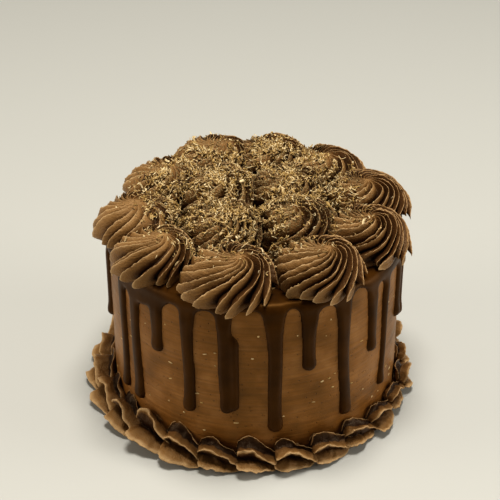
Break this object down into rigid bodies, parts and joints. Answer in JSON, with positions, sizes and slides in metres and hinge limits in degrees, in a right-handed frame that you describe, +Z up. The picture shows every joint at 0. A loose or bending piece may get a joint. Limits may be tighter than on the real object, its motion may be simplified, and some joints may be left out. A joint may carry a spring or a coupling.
{
  "type": "chocolate cake",
  "caption": "Tall round chocolate cake in buttercream, with a dark ganache drip, piped rosettes under chocolate shavings on top, and a piped shell border round its foot.",
  "frame": {"origin": "centre of the cake's round flat underside, which it stands on", "axes": "+Z up along the cake's axis, -Y towards the shown side, +X to the right as seen from there"},
  "size_m": [0.1856, 0.1856, 0.1255],
  "materials": {
    "side_buttercream": "smooth scraped chocolate buttercream, satin",
    "piped_buttercream": "piped chocolate buttercream with chocolate shavings on it, soft satin",
    "ganache": "set dark chocolate ganache, soft gloss"
  },
  "bodies": {
    "root": {"frosted_cake": "side_buttercream", "ganache_glaze": "ganache", "rosette_01": "piped_buttercream", "rosette_02": "piped_buttercream", "rosette_03": "piped_buttercream", "rosette_04": "piped_buttercream", "rosette_05": "piped_buttercream", "rosette_06": "piped_buttercream", "rosette_07": "piped_buttercream", "rosette_08": "piped_buttercream", "rosette_09": "piped_buttercream", "rosette_10": "piped_buttercream", "rosette_11": "piped_buttercream", "rosette_12": "piped_buttercream", "rosette_13": "piped_buttercream", "rosette_14": "piped_buttercream", "border_shell_01": "piped_buttercream", "border_shell_02": "piped_buttercream", "border_shell_03": "piped_buttercream", "border_shell_04": "piped_buttercream", "border_shell_05": "piped_buttercream", "border_shell_06": "piped_buttercream", "border_shell_07": "piped_buttercream", "border_shell_08": "piped_buttercream", "border_shell_09": "piped_buttercream", "border_shell_10": "piped_buttercream", "border_shell_11": "piped_buttercream", "border_shell_12": "piped_buttercream", "border_shell_13": "piped_buttercream", "border_shell_14": "piped_buttercream", "border_shell_15": "piped_buttercream", "border_shell_16": "piped_buttercream", "border_shell_17": "piped_buttercream", "border_shell_18": "piped_buttercream", "border_shell_19": "piped_buttercream", "border_shell_20": "piped_buttercream", "border_shell_21": "piped_buttercream", "border_shell_22": "piped_buttercream", "border_shell_23": "piped_buttercream", "border_shell_24": "piped_buttercream", "border_shell_25": "piped_buttercream", "border_shell_26": "piped_buttercream"}
  },
  "joints": []
}
